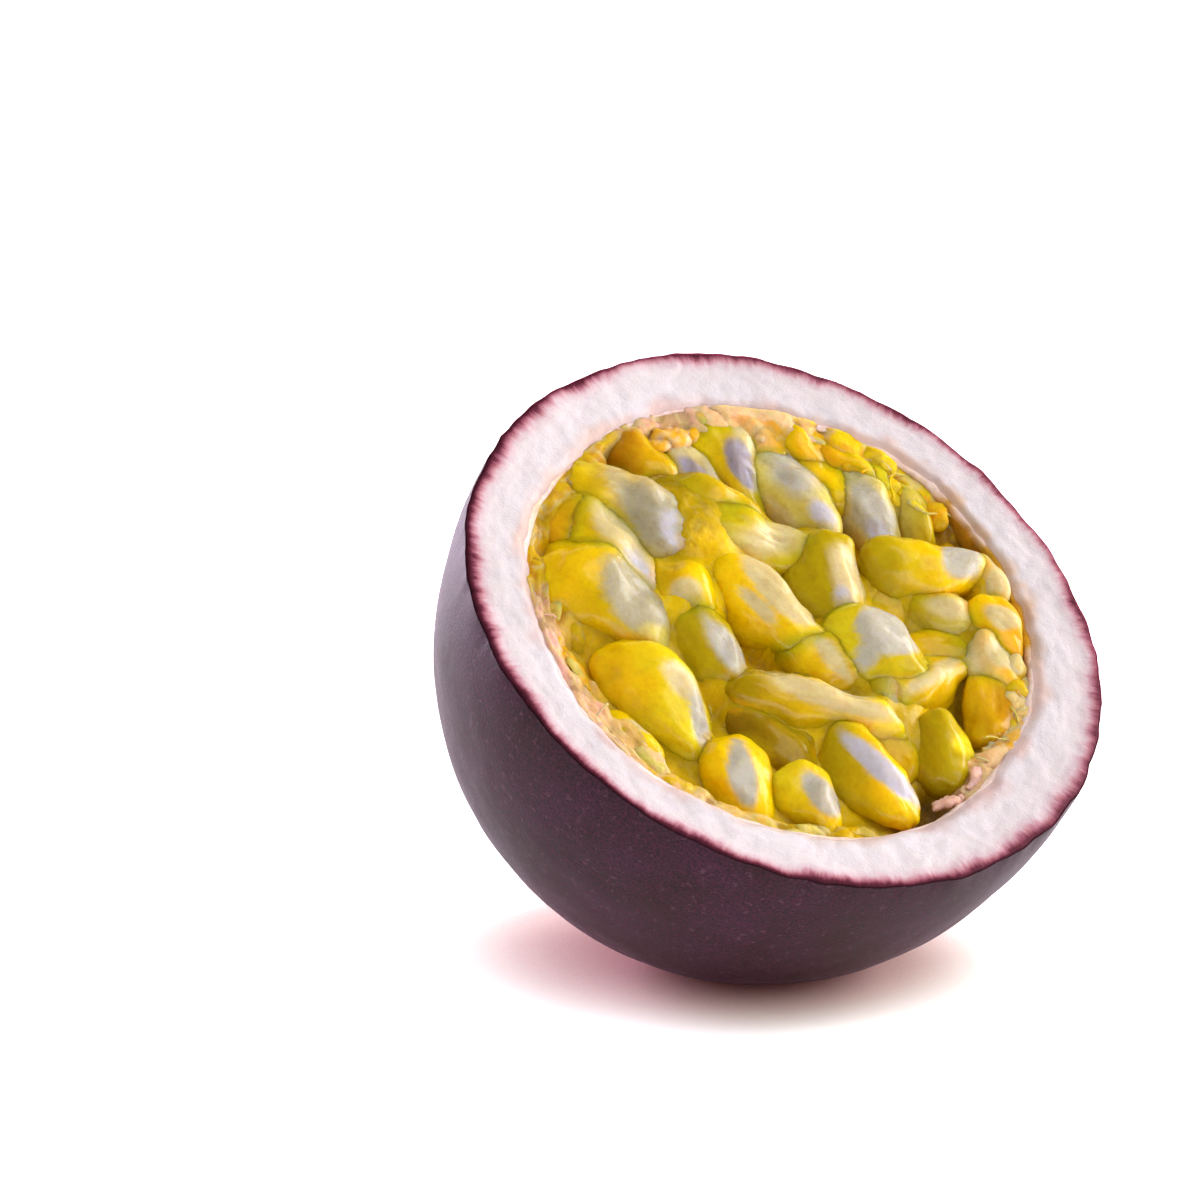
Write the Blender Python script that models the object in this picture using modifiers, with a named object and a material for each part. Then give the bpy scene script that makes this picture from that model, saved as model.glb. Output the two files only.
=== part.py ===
"""Half of a purple passion fruit, cut across, resting on a small flat spot with its cut face leaning forward.

Metres, +Z up. The origin is the middle of the flat spot, and the cut face leans towards -Y.
Each solid is first made upright about the fruit's own axis, with the cut at height 0 and the body below
it, and then leans with the empty that carries it.
"""

import random
from math import atan2, cos, pi, radians, sin, sqrt

import bmesh
import bpy
from mathutils import Matrix, Vector

MM = 0.001

# The half as a whole
RIM_RADIUS = 25.0 * MM
BODY_DEPTH = 30.2 * MM
BELLY = 0.038  # how far the side swells out below the cut, as a share of the rim's radius
LEAN = radians(38.7)  # the cut face from level, forward
SPIN = radians(-49.7)  # the fruit about its own axis
CUT_CENTRE = Vector((0.0, -4.25, 27.85)) * MM  # a little low, so that the floor trims a flat spot

# The rind: the hollow that the pulp fills, its softened lip, and the scar at the blossom end,
# a dent ringed round a lower knob
CAVITY_RADIUS = 19.9 * MM
CAVITY_DEPTH = 25.0 * MM
LIP = 0.5 * MM
SCAR_RING = 1.1 * MM
SCAR_DENT = 0.5 * MM
SCAR_KNOB = 0.25 * MM

# Out of round: waves round the rim, height of each and where its first crest points
OUTER_WAVES = ((3, 0.13 * MM, radians(-15)), (4, 0.07 * MM, radians(24)))
CAVITY_WAVES = (
    (1, 0.3 * MM, radians(-131)),
    (2, 0.55 * MM, radians(84)),
    (3, 0.13 * MM, radians(-45)),
    (6, 0.14 * MM, radians(19)),
)

# The pulp: clearance to the rind, and its bed, which lies a little lower on the far side
GAP = 0.3 * MM
BED_LEVEL = -2.9 * MM
BED_LEAN = radians(3)
ROOM_TOP = 5.0 * MM  # over the cut, clear of every sac

# One row for each juice sac that shows: its middle to the right, up and over the cut, the turn of its
# long axis on the cut and how far its far end dips in degrees, then its length and its width
SACS = (
    (-12.2, -4.8, -2.8, -8, 0, 11.2, 6.8),
    (-13.3, -0.5, -2.5, -16, 0, 9.8, 5.8),
    (-13.0, 4.2, -2.2, -3, 0, 11.0, 5.2),
    (-14.0, 8.6, -2.4, -5, 0, 7.6, 4.8),
    (-11.0, 9.8, -2.0, -50, 0, 8.0, 3.8),
    (-8.4, 13.0, -2.0, -40, 0, 9.2, 4.8),
    (-3.2, 13.2, -1.8, -26, 0, 8.8, 5.0),
    (1.5, 15.6, -1.8, -35, 0, 7.4, 4.0),
    (1.0, 18.2, -1.6, -40, 0, 4.6, 2.8),
    (4.6, 17.4, -1.6, -56, 0, 5.6, 3.0),
    (-4.2, 7.6, -1.5, 20, 0, 9.4, 4.8),
    (1.5, 6.4, -1.7, -48, 0, 9.6, 5.4),
    (-2.7, 1.0, -1.6, -18, 0, 10.8, 5.6),
    (-6.9, -1.8, -1.6, -40, 50, 5.6, 4.2),
    (-7.1, 3.4, -2.8, -22, 0, 8.0, 5.0),
    (-3.9, -5.4, -2.1, -40, 0, 8.8, 5.2),
    (3.5, -0.8, -2.2, 6, 0, 7.4, 4.2),
    (7.0, 3.7, -1.8, -1, 0, 8.6, 6.4),
    (7.3, 12.0, -0.8, 39, 0, 10.4, 4.9),
    (12.0, 13.4, -1.0, 0, 0, 4.4, 2.8),
    (10.4, 9.8, -1.8, 13, 0, 6.6, 3.8),
    (13.9, 10.8, -1.2, -15, 0, 6.0, 4.0),
    (11.3, 2.4, -2.0, 51, 0, 10.8, 4.6),
    (15.2, 7.4, -1.6, -41, 0, 5.6, 3.8),
    (16.6, 3.6, -1.8, -69, 0, 6.2, 3.8),
    (5.4, -5.0, -1.8, 13, 0, 13.2, 4.8),
    (10.0, -1.6, -1.6, -40, 30, 4.4, 3.0),
    (-5.6, -11.6, -2.8, -21, 0, 10.8, 6.4),
    (2.5, -14.8, -2.3, -55, 0, 8.8, 5.6),
    (8.0, -12.5, -2.3, -28, 0, 7.4, 5.8),
    (11.4, -8.0, -2.3, -21, 0, 11.4, 5.8),
    (14.7, -1.8, -2.5, -40, 0, 7.8, 5.6),
    (3.5, -8.0, -3.4, 10, 0, 8.4, 4.6),
    (-11.4, 13.8, -1.6, -30, 0, 4.8, 3.2),
    (-5.4, 17.4, -1.2, -20, 0, 4.6, 2.6),
    (-1.8, 18.2, -1.2, -15, 0, 5.0, 2.6),
    (11.4, 7.4, -2.8, 35, 0, 7.0, 3.8),
    (-17.2, -1.0, -1.8, 80, 0, 5.2, 3.4),
    (-11.5, -9.6, -3.2, -20, 0, 6.4, 4.0),
)
SAC_TAPER = 0.14  # how much thinner a sac is towards its far end

# Small sacs that fill in where the listed ones leave the bed bare
SMALL_SACS = 10
SMALL_SEED = 7
SMALL_REACH = 17.0 * MM
SMALL_LEVEL = -3.0 * MM
SMALL_LENGTH = 5.0 * MM
SMALL_WIDTH = 3.4 * MM
SMALL_SPACING = 4.5 * MM
BARE = 2.8 * MM  # a place this far from the middle line of every listed sac is bare

# Facets: steps round the axis, points down a side, and a sac's own segments and rings
AROUND = 48
DOWN = 14
SAC_SEGMENTS = 10
SAC_RINGS = 6
WELD = 0.01 * MM
SHARP_ANGLE = radians(40)

RIND_COLOUR = (0.075, 0.032, 0.042, 1.0)
RIND_ROUGHNESS = 0.5
PULP_COLOUR = (0.62, 0.36, 0.012, 1.0)
PULP_ROUGHNESS = 0.25


def clear_scene():
    for item in list(bpy.data.objects):
        bpy.data.objects.remove(item, do_unlink=True)


def new_collection(name, hidden=False):
    collection = bpy.data.collections.new(name)
    bpy.context.scene.collection.children.link(collection)
    collection.hide_render = hidden
    return collection


def principled(name, colour, roughness):
    material = bpy.data.materials.new(name)
    material.use_nodes = True
    shader = material.node_tree.nodes["Principled BSDF"]
    shader.inputs["Base Color"].default_value = colour
    shader.inputs["Roughness"].default_value = roughness
    shader.inputs["Metallic"].default_value = 0.0
    return material


def applied(thing):
    """The object's mesh with its modifiers applied, in its own coordinates."""
    graph = bpy.context.evaluated_depsgraph_get()
    return bpy.data.meshes.new_from_object(thing.evaluated_get(graph))


def as_cutter(thing):
    thing.hide_render = True
    thing.display_type = "WIRE"
    return thing


def side(radius, depth):
    """Points (radius, height) from the cut down to the blossom end: a quarter oval with a slight belly."""
    angles = [pi / 2 * step / DOWN for step in range(DOWN + 1)]
    return [(radius * (cos(a) + BELLY * sin(a) * cos(a)), -depth * sin(a)) for a in angles[:-1]]


def ripple(angle, waves):
    return sum(height * cos(count * (angle - crest)) for count, height, crest in waves)


def turned(name, profile, waves, collection):
    """A closed solid turned about Z from (radius, height) points, listed from the top of the axis down."""
    outline = bpy.data.meshes.new(name + "_outline")
    points = [(radius, 0.0, height) for radius, height in profile]
    outline.from_pydata(points, [(i, i + 1) for i in range(len(points) - 1)], [])
    guide = bpy.data.objects.new(name + "_outline", outline)
    collection.objects.link(guide)
    screw = guide.modifiers.new("turn", "SCREW")
    screw.axis = "Z"
    screw.steps = AROUND
    screw.render_steps = AROUND
    screw.use_merge_vertices = True
    screw.merge_threshold = WELD
    mesh = applied(guide)
    bpy.data.objects.remove(guide, do_unlink=True)
    mesh.name = name
    rim = max(radius for radius, _ in profile)
    for vertex in mesh.vertices:
        grown = 1.0 + ripple(atan2(vertex.co.y, vertex.co.x), waves) / rim
        vertex.co.x *= grown
        vertex.co.y *= grown
    solid = bpy.data.objects.new(name, mesh)
    collection.objects.link(solid)
    return solid


def combine(thing, operation, other=None, collection=None):
    """Applies one Boolean to the object's mesh."""
    cut = thing.modifiers.new(operation.lower(), "BOOLEAN")
    cut.operation = operation
    cut.solver = "EXACT"
    if collection:
        cut.operand_type = "COLLECTION"
        cut.collection = collection
    else:
        cut.object = other
    mesh = applied(thing)
    thing.modifiers.clear()
    thing.data = mesh


def keep_largest_body(mesh):
    """Drops loose scraps and fills sealed hollows, which are the mesh's smaller closed surfaces."""
    work = bmesh.new()
    work.from_mesh(mesh)
    unseen = set(work.faces)
    bodies = []
    while unseen:
        body = []
        edge_of_search = [unseen.pop()]
        while edge_of_search:
            face = edge_of_search.pop()
            body.append(face)
            near = {link for edge in face.edges for link in edge.link_faces} & unseen
            unseen -= near
            edge_of_search.extend(near)
        bodies.append(body)
    bodies.sort(key=lambda body: sum(face.calc_area() for face in body))
    for body in bodies[:-1]:
        bmesh.ops.delete(work, geom=body, context="FACES")
    loose = [vertex for vertex in work.verts if not vertex.link_faces]
    bmesh.ops.delete(work, geom=loose, context="VERTS")
    work.to_mesh(mesh)
    work.free()


def floor_cutter(collection):
    """A box just below the floor level, which trims the flat spot."""
    bpy.ops.mesh.primitive_cube_add(size=1.0)
    block = as_cutter(bpy.context.active_object)
    block.name = "floor_cutter"
    height = 10 * MM
    block.scale = (4 * RIM_RADIUS, 4 * RIM_RADIUS, height)
    block.location = (0.0, 0.0, -height / 2)
    for holder in list(block.users_collection):
        holder.objects.unlink(block)
    collection.objects.link(block)
    return block


def make_shell(parts, cutters, material):
    """Skin and pith as one solid, open at the cut, with a shallow scar at the blossom end."""
    outside = [(0.0, 0.0)] + side(RIM_RADIUS, BODY_DEPTH)
    outside += [(SCAR_RING, SCAR_DENT - BODY_DEPTH), (0.0, SCAR_KNOB - BODY_DEPTH)]
    shell = turned("shell", outside, OUTER_WAVES, parts)
    inside = side(CAVITY_RADIUS, CAVITY_DEPTH)
    mouth = CAVITY_RADIUS + LIP
    hollow = [(0.0, ROOM_TOP), (mouth, ROOM_TOP), (mouth, 0.0), (CAVITY_RADIUS, -LIP)]
    hollow += inside[1:] + [(0.0, -CAVITY_DEPTH)]
    cavity = as_cutter(turned("cavity_cutter", hollow, CAVITY_WAVES, cutters))
    combine(shell, "DIFFERENCE", cavity)
    shell.data.materials.clear()
    shell.data.materials.append(material)
    return shell


def turned_filling(name, collection):
    """All the room that the pulp has: the hollow less the clearance, carried straight up over the cut."""
    room = [(0.0, ROOM_TOP), (CAVITY_RADIUS - GAP, ROOM_TOP)]
    room += side(CAVITY_RADIUS - GAP, CAVITY_DEPTH - GAP) + [(0.0, GAP - CAVITY_DEPTH)]
    return turned(name, room, CAVITY_WAVES, collection)


def cut_to_bed(mesh):
    """Takes away what stands over the bed and closes the opening with one level face."""
    work = bmesh.new()
    work.from_mesh(mesh)
    everything = list(work.verts) + list(work.edges) + list(work.faces)
    level = Vector((0.0, 0.0, BED_LEVEL))
    upward = Matrix.Rotation(BED_LEAN, 3, "X").inverted() @ Vector((0.0, 0.0, 1.0))
    cut = bmesh.ops.bisect_plane(
        work, geom=everything, dist=WELD, plane_co=level, plane_no=upward, clear_outer=True
    )
    edges = [piece for piece in cut["geom_cut"] if isinstance(piece, bmesh.types.BMEdge)]
    bmesh.ops.contextual_create(work, geom=edges)
    work.to_mesh(mesh)
    work.free()


def sac(place, turn, dip, length, width, collection):
    """An egg-shaped pouch, its long axis turned on the cut and dipped at its far end."""
    ball = bmesh.new()
    bmesh.ops.create_uvsphere(ball, u_segments=SAC_SEGMENTS, v_segments=SAC_RINGS, radius=0.5)
    bmesh.ops.rotate(ball, verts=ball.verts, matrix=Matrix.Rotation(pi / 2, 3, "Y"))
    for vertex in ball.verts:
        slim = 1.0 - SAC_TAPER * 2 * vertex.co.x
        vertex.co = Vector((vertex.co.x * length, vertex.co.y * width * slim, vertex.co.z * width * slim))
    mesh = bpy.data.meshes.new("sac")
    ball.to_mesh(mesh)
    ball.free()
    pouch = bpy.data.objects.new("sac", mesh)
    facing = Matrix.Rotation(turn, 4, "Z") @ Matrix.Rotation(dip, 4, "Y")
    mesh.transform(Matrix.Translation(place) @ facing)
    collection.objects.link(pouch)


def from_middle_line(place, row):
    """Distance over the cut from a place to the middle line of a listed sac."""
    right, up, _, turn, _, length, width = row
    along = Vector((cos(radians(turn)), sin(radians(turn))))
    offset = place.xy - Vector((right, up)) * MM
    half = (length - width) / 2 * MM
    return (offset - along * max(-half, min(half, offset.dot(along)))).length


def small_places(draws):
    """Middles of the small sacs: drawn evenly over the bed, each kept where the bed is bare."""
    kept = []
    while len(kept) < SMALL_SACS:
        angle = draws.uniform(0, 2 * pi)
        reach = SMALL_REACH * sqrt(draws.random())
        place = Vector((reach * cos(angle), reach * sin(angle), SMALL_LEVEL))
        bare = all(from_middle_line(place, row) > BARE for row in SACS)
        if bare and all((place - other).length > SMALL_SPACING for other in kept):
            kept.append(place)
    return kept


def make_pulp(parts, cutters, material):
    """The pulp: a bed that fills the hollow, with the juice sacs that show fused on."""
    pulp = turned_filling("pulp", parts)
    cut_to_bed(pulp.data)

    sacs = new_collection("sacs", hidden=True)
    for right, up, over, turn, dip, length, width in SACS:
        place = Vector((right, up, over)) * MM
        sac(place, radians(turn), radians(dip), length * MM, width * MM, sacs)
    draws = random.Random(SMALL_SEED)
    for place in small_places(draws):
        sac(place, draws.uniform(0, pi), 0.0, SMALL_LENGTH, SMALL_WIDTH, sacs)
    combine(pulp, "UNION", collection=sacs)
    for pouch in list(sacs.objects):
        bpy.data.objects.remove(pouch, do_unlink=True)
    bpy.data.collections.remove(sacs)

    trimmer = as_cutter(turned_filling("room_cutter", cutters))
    combine(pulp, "INTERSECT", trimmer)
    keep_largest_body(pulp.data)
    pulp.data.materials.clear()
    pulp.data.materials.append(material)
    return pulp


def main():
    clear_scene()
    parts = new_collection("passion_fruit_half")
    cutters = new_collection("cutters", hidden=True)
    shell = make_shell(parts, cutters, principled("rind", RIND_COLOUR, RIND_ROUGHNESS))
    pulp = make_pulp(parts, cutters, principled("pulp", PULP_COLOUR, PULP_ROUGHNESS))

    axis = bpy.data.objects.new("fruit_axis", None)
    parts.objects.link(axis)
    lean = Matrix.Rotation(LEAN, 4, "X") @ Matrix.Rotation(SPIN, 4, "Z")
    axis.matrix_world = Matrix.Translation(CUT_CENTRE) @ lean
    for solid in (shell, pulp):
        solid.parent = axis
        solid.data.shade_smooth()
        solid.data.set_sharp_from_angle(angle=SHARP_ANGLE)
    for helper in cutters.objects:
        helper.parent = axis

    flat = shell.modifiers.new("flat_spot", "BOOLEAN")
    flat.operation = "DIFFERENCE"
    flat.solver = "EXACT"
    flat.object = floor_cutter(cutters)


main()
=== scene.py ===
"""Looks of the passion fruit half: dusky purple skin, white pith, and wet yellow juice sacs in the hollow.

The fruit is modelled in its own frame, in millimetres: x to the right along the cut, y up the cut to its
far side and z out of it. placed() then leans it as the solids lean, in metres.
"""

from itertools import product
from math import cos, pi, radians, sin

import bpy
import numpy as np
from mathutils import Matrix, Vector


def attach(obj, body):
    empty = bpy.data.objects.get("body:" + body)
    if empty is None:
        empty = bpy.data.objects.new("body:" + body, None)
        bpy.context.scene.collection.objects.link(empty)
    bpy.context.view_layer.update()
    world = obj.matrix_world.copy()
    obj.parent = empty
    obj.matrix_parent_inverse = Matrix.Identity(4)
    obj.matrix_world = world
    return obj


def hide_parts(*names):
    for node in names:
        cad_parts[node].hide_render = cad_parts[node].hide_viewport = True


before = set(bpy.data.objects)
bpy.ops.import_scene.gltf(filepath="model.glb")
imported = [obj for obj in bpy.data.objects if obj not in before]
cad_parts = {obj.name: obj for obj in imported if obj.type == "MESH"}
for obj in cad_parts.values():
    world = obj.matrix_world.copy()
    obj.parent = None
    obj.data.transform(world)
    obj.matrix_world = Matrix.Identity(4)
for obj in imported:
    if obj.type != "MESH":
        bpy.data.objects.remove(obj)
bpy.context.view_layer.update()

MM = 0.001

# The fruit as the solids have it
RIM_RADIUS = 25.0
BODY_DEPTH = 30.2
BELLY = 0.038
LEAN = radians(38.7)
SPIN = radians(-49.7)
CUT_CENTRE = Vector((0.0, -4.25, 27.85))
CAVITY_RADIUS = 19.9
CAVITY_DEPTH = 25.0
MOUTH_RADIUS = 20.4
GAP = 0.3
WALL_DEPTH = 5.0  # what the hollow's wall counts as, in millimetres in from the skin
SCAR_RING = 1.1  # the scar at the blossom end: how far out its ring reaches, and how deep it is
SCAR_DENT = 0.5
BED_LEVEL = -2.9
BED_LEAN = radians(3)
OUTER_WAVES = ((3, 0.13, -15), (4, 0.07, 24))
CAVITY_WAVES = ((1, 0.3, -131), (2, 0.55, 84), (3, 0.13, -45), (6, 0.14, 19))

# The camera: where it stands from the cut's centre, and how far left and up of that it looks
AZIMUTH = radians(-34.1)
ELEVATION = radians(15)
DISTANCE = 600.0
LENS = 244.4
SENSOR = 36.0
LOOK_LEFT = 13.8
LOOK_UP = 1.0

# One row for each juice sac that shows: its middle to the right, up and over the cut, the turn of its
# long axis on the cut and how far its far end dips in degrees, then its length and its width, and last
# its colours at the end that is left in the photograph and at the right one
SACS = (
    (-12.1, -6.8, -2.9, -8, 0, 11.8, 7.2, "yolk", "olive"),
    (-13.1, -2.4, -2.8, -20, 0, 10.4, 5.8, "yolk", "gold"),
    (-13.5, 2.4, -2.3, -8, 0, 11.6, 5.8, "yolk", "grey"),
    (-14.9, 7.8, -2.6, -5, 0, 7.4, 4.6, "amber", "gold"),
    (-10.8, 8.1, -2.2, -54, 0, 8.4, 3.6, "gold", "grey"),
    (-9.2, 12.2, -2.2, -42, 0, 9.2, 4.4, "yolk", "olive"),
    (-3.7, 12.2, -2.1, -26, 0, 8.6, 4.9, "pale", "pale"),
    (1.7, 15.1, -2.0, -35, 0, 6.8, 3.7, "cream", "pale"),
    (1.0, 18.2, -1.9, -40, 0, 4.6, 2.8, "yolk", "lemon"),
    (4.6, 17.4, -1.9, -56, 0, 5.6, 3.0, "pale", "olive"),
    (-4.5, 6.1, -1.9, 20, 0, 11.6, 4.8, "olive", "lemon"),
    (1.6, 5.9, -1.7, -48, 0, 9.2, 5.4, "olive", "olive"),
    (-1.7, 0.2, -1.4, -22, 0, 9.8, 5.6, "yolk", "yolk"),
    (-7.2, -2.7, -2.0, -40, 30, 6.0, 5.0, "gold", "yolk"),
    (-7.2, 2.7, -2.6, -22, 0, 7.6, 5.2, "gold", "olive"),
    (-3.9, -5.4, -2.8, -40, 0, 8.8, 5.2, "olive", "olive"),
    (3.7, -1.2, -1.8, 6, 0, 7.0, 4.2, "yolk", "gold"),
    (6.4, 2.2, -1.5, -1, 0, 8.2, 6.0, "lemon", "olive"),
    (7.0, 11.9, -0.9, 37, 0, 9.0, 4.8, "olive", "yolk"),
    (11.6, 14.1, -1.3, -35, 0, 4.6, 2.9, "cream", "cream"),
    (10.4, 9.8, -2.1, 13, 0, 6.6, 3.8, "olive", "pale"),
    (14.1, 10.9, -1.5, -15, 0, 5.6, 3.8, "yolk", "orange"),
    (11.0, 2.0, -2.2, 66, 0, 9.6, 4.2, "olive", "gold"),
    (15.2, 7.4, -1.9, -41, 0, 5.6, 3.8, "cream", "orange"),
    (16.6, 3.6, -2.1, -69, 0, 6.2, 3.8, "gold", "amber"),
    (5.2, -5.7, -1.6, 20, 0, 13.0, 4.5, "depth", "yolk"),
    (10.0, -1.6, -1.9, -40, 30, 4.4, 3.0, "gold", "cream"),
    (-5.1, -12.4, -2.9, -21, 0, 10.6, 6.2, "yolk", "lemon"),
    (3.2, -15.6, -2.7, -55, 0, 7.8, 5.2, "yolk", "yolk"),
    (8.2, -13.9, -2.6, -28, 0, 6.2, 5.0, "lemon", "yolk"),
    (11.6, -8.9, -2.1, -22, 0, 9.0, 4.6, "olive", "yolk"),
    (15.0, -2.5, -2.6, -40, 0, 6.3, 4.9, "depth", "olive"),
    # This low sac's dark colours are painted shade
    (3.9, -9.6, -3.8, -10, 0, 9.0, 5.2, "dark", "depth"),
    (-12.5, 14.2, -1.9, -40, 0, 4.8, 3.2, "peach", "orange"),
    (-5.4, 17.4, -1.5, -20, 0, 4.6, 2.6, "yolk", "orange"),
    (-1.8, 18.2, -1.5, -15, 0, 5.0, 2.6, "orange", "yolk"),
    (11.4, 7.4, -3.1, 35, 0, 7.0, 3.8, "gold", "olive"),
    (-17.2, -1.0, -2.1, 80, 0, 5.2, 3.4, "orange", "gold"),
    (-11.2, -10.4, -3.5, -14, 0, 5.6, 3.4, "gold", "yolk"),
    (-5.4, -17.0, -1.9, -8, 0, 5.4, 2.4, "yolk", "yolk"),
    (10.4, -4.9, -3.2, -10, 0, 6.6, 4.4, "olive", "gold"),
    (-12.6, 6.5, -2.4, -20, 0, 4.4, 3.2, "yolk", "gold"),
    (6.2, 7.8, -3.0, 20, 0, 6.2, 3.8, "olive", "gold"),
    (-8.3, 6.7, -1.8, 20, 0, 7.4, 4.6, "olive", "gold"),
    (-2.6, 15.7, -2.5, -15, 0, 5.6, 3.4, "orange", "yolk"),
    (-7.6, 15.8, -2.2, -30, 0, 5.0, 3.2, "peach", "orange"),
)
SAC_TAPER = (0.0, 0.3)
SAC_BEND = (-0.25, 0.25)
SWELL = 1.05  # how far a sac's own oval reaches past the solid's, before its neighbours press it back
BLUNT = 2.4  # 2 is a true oval, and more is blunter at the ends
CREASE = 10.0  # how sharply the wall presses a sac
DIVE = 1.1  # how fast a sac dives into its neighbour past the crease between them
WARP = 0.6  # how far the sacs' shapes are pulled out of true, and over what length
WARP_SIZE = 3.4
SAC_CLING = (2.6, 8.0)  # how sacs run into each other: least where they are one, most where they part
CLING_SIZE = 4.5
WRINKLES = {2: 2.4, 4: 2.8, 6: 1.6, 10: 2.0, 12: 1.5, 15: 1.6, 25: 2.2, 27: 1.6}  # sacs with slack skins

# The juice between the sacs: how far it is drawn up into the creases, and the field that it fills
JUICE_CLING = 1.7
JUICE_FIELD = 0.62

# Pale windows on the sacs, in part pale seed and juice showing through and in part painted reflections
# of the lights, and a few darker marks: the sac, the middle to the right and up in the picture, the turn,
# the length, the width, the colour, and the share of the edge that is soft
PALE_SEEDS_AND_PAINTED_REFLECTIONS = (
    (0, -11.2, 1.2, -52, 7.0, 3.6, "grey", 0.25),
    (0, -9.7, -1.8, -30, 2.7, 2.2, "pale", 0.5),
    (1, -11.7, 4.5, -57, 8.6, 2.6, "cream", 0.25),
    (1, -10.6, 2.6, -60, 4.4, 1.6, "lilac", 0.6),
    (2, -12.4, 9.6, -60, 3.2, 1.6, "cream", 0.4),
    (2, -10.2, 7.4, -48, 5.8, 3.4, "grey", 0.35),
    (2, -8.2, 6.2, -60, 3.0, 2.2, "lilac", 0.4),
    (3, -12.9, 12.8, -5, 3.6, 1.0, "amber", 0.6),
    (4, -7.9, 12.2, -25, 3.2, 1.5, "cream", 0.5),
    (4, -6.8, 9.3, -62, 5.3, 2.2, "slate", 0.3),
    (5, -2.6, 12.0, -58, 4.8, 1.4, "cream", 0.4),
    (5, -3.4, 11.1, -62, 4.6, 1.8, "slate", 0.25),
    # Painted shade: the darker lower left of this sac
    (5, -4.9, 8.9, -50, 3.4, 1.6, "dark", 0.8),
    (6, 0.4, 10.6, -40, 4.4, 3.0, "cloud", 0.7),
    (6, 2.6, 7.3, -55, 2.6, 1.5, "lilac", 0.5),
    (6, -0.9, 7.6, -40, 3.4, 1.2, "cream", 0.6),
    (7, 6.1, 7.6, -55, 5.2, 2.8, "cloud", 0.5),
    (7, 6.7, 6.1, -50, 2.4, 1.4, "lilac", 0.6),
    (10, -1.2, 5.6, 8, 5.2, 2.4, "cream", 0.7),
    (10, -4.4, 4.8, 30, 2.6, 1.4, "pale", 0.7),
    (11, 4.4, 2.9, -68, 5.4, 2.2, "cream", 0.25),
    (11, 4.2, 1.0, -75, 2.2, 1.4, "lilac", 0.5),
    (12, -0.5, 1.9, -42, 7.2, 2.8, "cream", 0.2),
    (12, -2.2, 0.7, -45, 3.8, 1.0, "cream", 0.4),
    (13, -7.4, 1.6, 0, 2.4, 2.2, "cream", 0.3),
    (15, -4.3, -2.7, -55, 6.0, 1.8, "cloud", 0.35),
    (16, 3.4, -3.2, -52, 3.9, 1.3, "cream", 0.3),
    (17, 7.6, -0.9, -12, 5.2, 3.9, "cloud", 0.15),
    (17, 5.9, -2.8, 62, 2.8, 1.6, "cloud", 0.3),
    (18, 12.8, 4.1, -20, 3.0, 2.8, "cloud", 0.25),
    (20, 12.0, 0.5, -10, 3.4, 1.6, "cream", 0.5),
    (21, 15.8, -0.1, -25, 2.6, 1.6, "cream", 0.35),
    (22, 10.7, -4.4, 32, 4.8, 1.3, "cream", 0.35),
    (23, 15.6, -2.8, -35, 2.6, 1.6, "cream", 0.5),
    (25, 3.2, -6.0, -17, 10.4, 1.8, "cream", 0.3),
    (26, 7.9, -6.4, -50, 2.0, 1.3, "cream", 0.4),
    (27, -7.7, -5.0, -50, 3.8, 1.7, "cream", 0.4),
    (27, -6.4, -7.7, -78, 4.6, 1.1, "cloud", 0.3),
    (28, -3.2, -11.7, -80, 4.9, 2.1, "cloud", 0.25),
    (29, 2.6, -13.2, -48, 4.0, 1.9, "cloud", 0.25),
    (30, 6.9, -11.2, -42, 7.8, 1.6, "lilac", 0.25),
    (31, 13.1, -9.5, -20, 2.1, 1.3, "lemon", 0.5),
    (33, -6.0, 13.9, -25, 2.4, 1.2, "cream", 0.5),
    (38, -12.8, -2.3, -20, 4.2, 0.8, "cream", 0.6),
    (39, -10.2, -8.4, -15, 3.6, 0.7, "cream", 0.4),
)

# Colours, as they look in even white light, 0 to 255
PALETTE = {
    "yolk": (241, 195, 2),
    "orange": (240, 166, 6),
    "gold": (210, 167, 5),
    "amber": (190, 130, 6),
    "lemon": (222, 198, 22),
    "olive": (185, 160, 8),
    "dark": (140, 108, 6),
    "depth": (165, 135, 2),
    "pale": (206, 186, 90),
    "cream": (206, 186, 131),
    "cloud": (179, 172, 155),
    "lilac": (186, 180, 188),
    "grey": (168, 158, 128),
    "slate": (152, 142, 152),
    "peach": (232, 184, 132),
    "rose": (224, 170, 154),
    "ochre": (196, 144, 34),
    # Painted shade, for the gap in the pulp
    "hole_shade": (92, 60, 20),
    "lip": (240, 214, 206),
}

# Colours of the hollow's wall, by the angle round the cut from the right
WALL_STOPS = (
    (-180, "peach"), (-150, "peach"), (-120, "rose"), (-92, "peach"), (-60, "pale"), (-36, "rose"),
    # The dark colour at -29 degrees is painted shade in the gap
    (-29, "hole_shade"), (-22, "rose"), (-8, "rose"), (20, "peach"), (30, "ochre"), (74, "ochre"),
    (92, "orange"), (108, "peach"), (140, "rose"), (158, "peach"), (180, "peach"),
)
BARE_WALL = (24, 34, 70, 80)  # the angles where it shows bare under the cut, starting and ending softly

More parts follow.
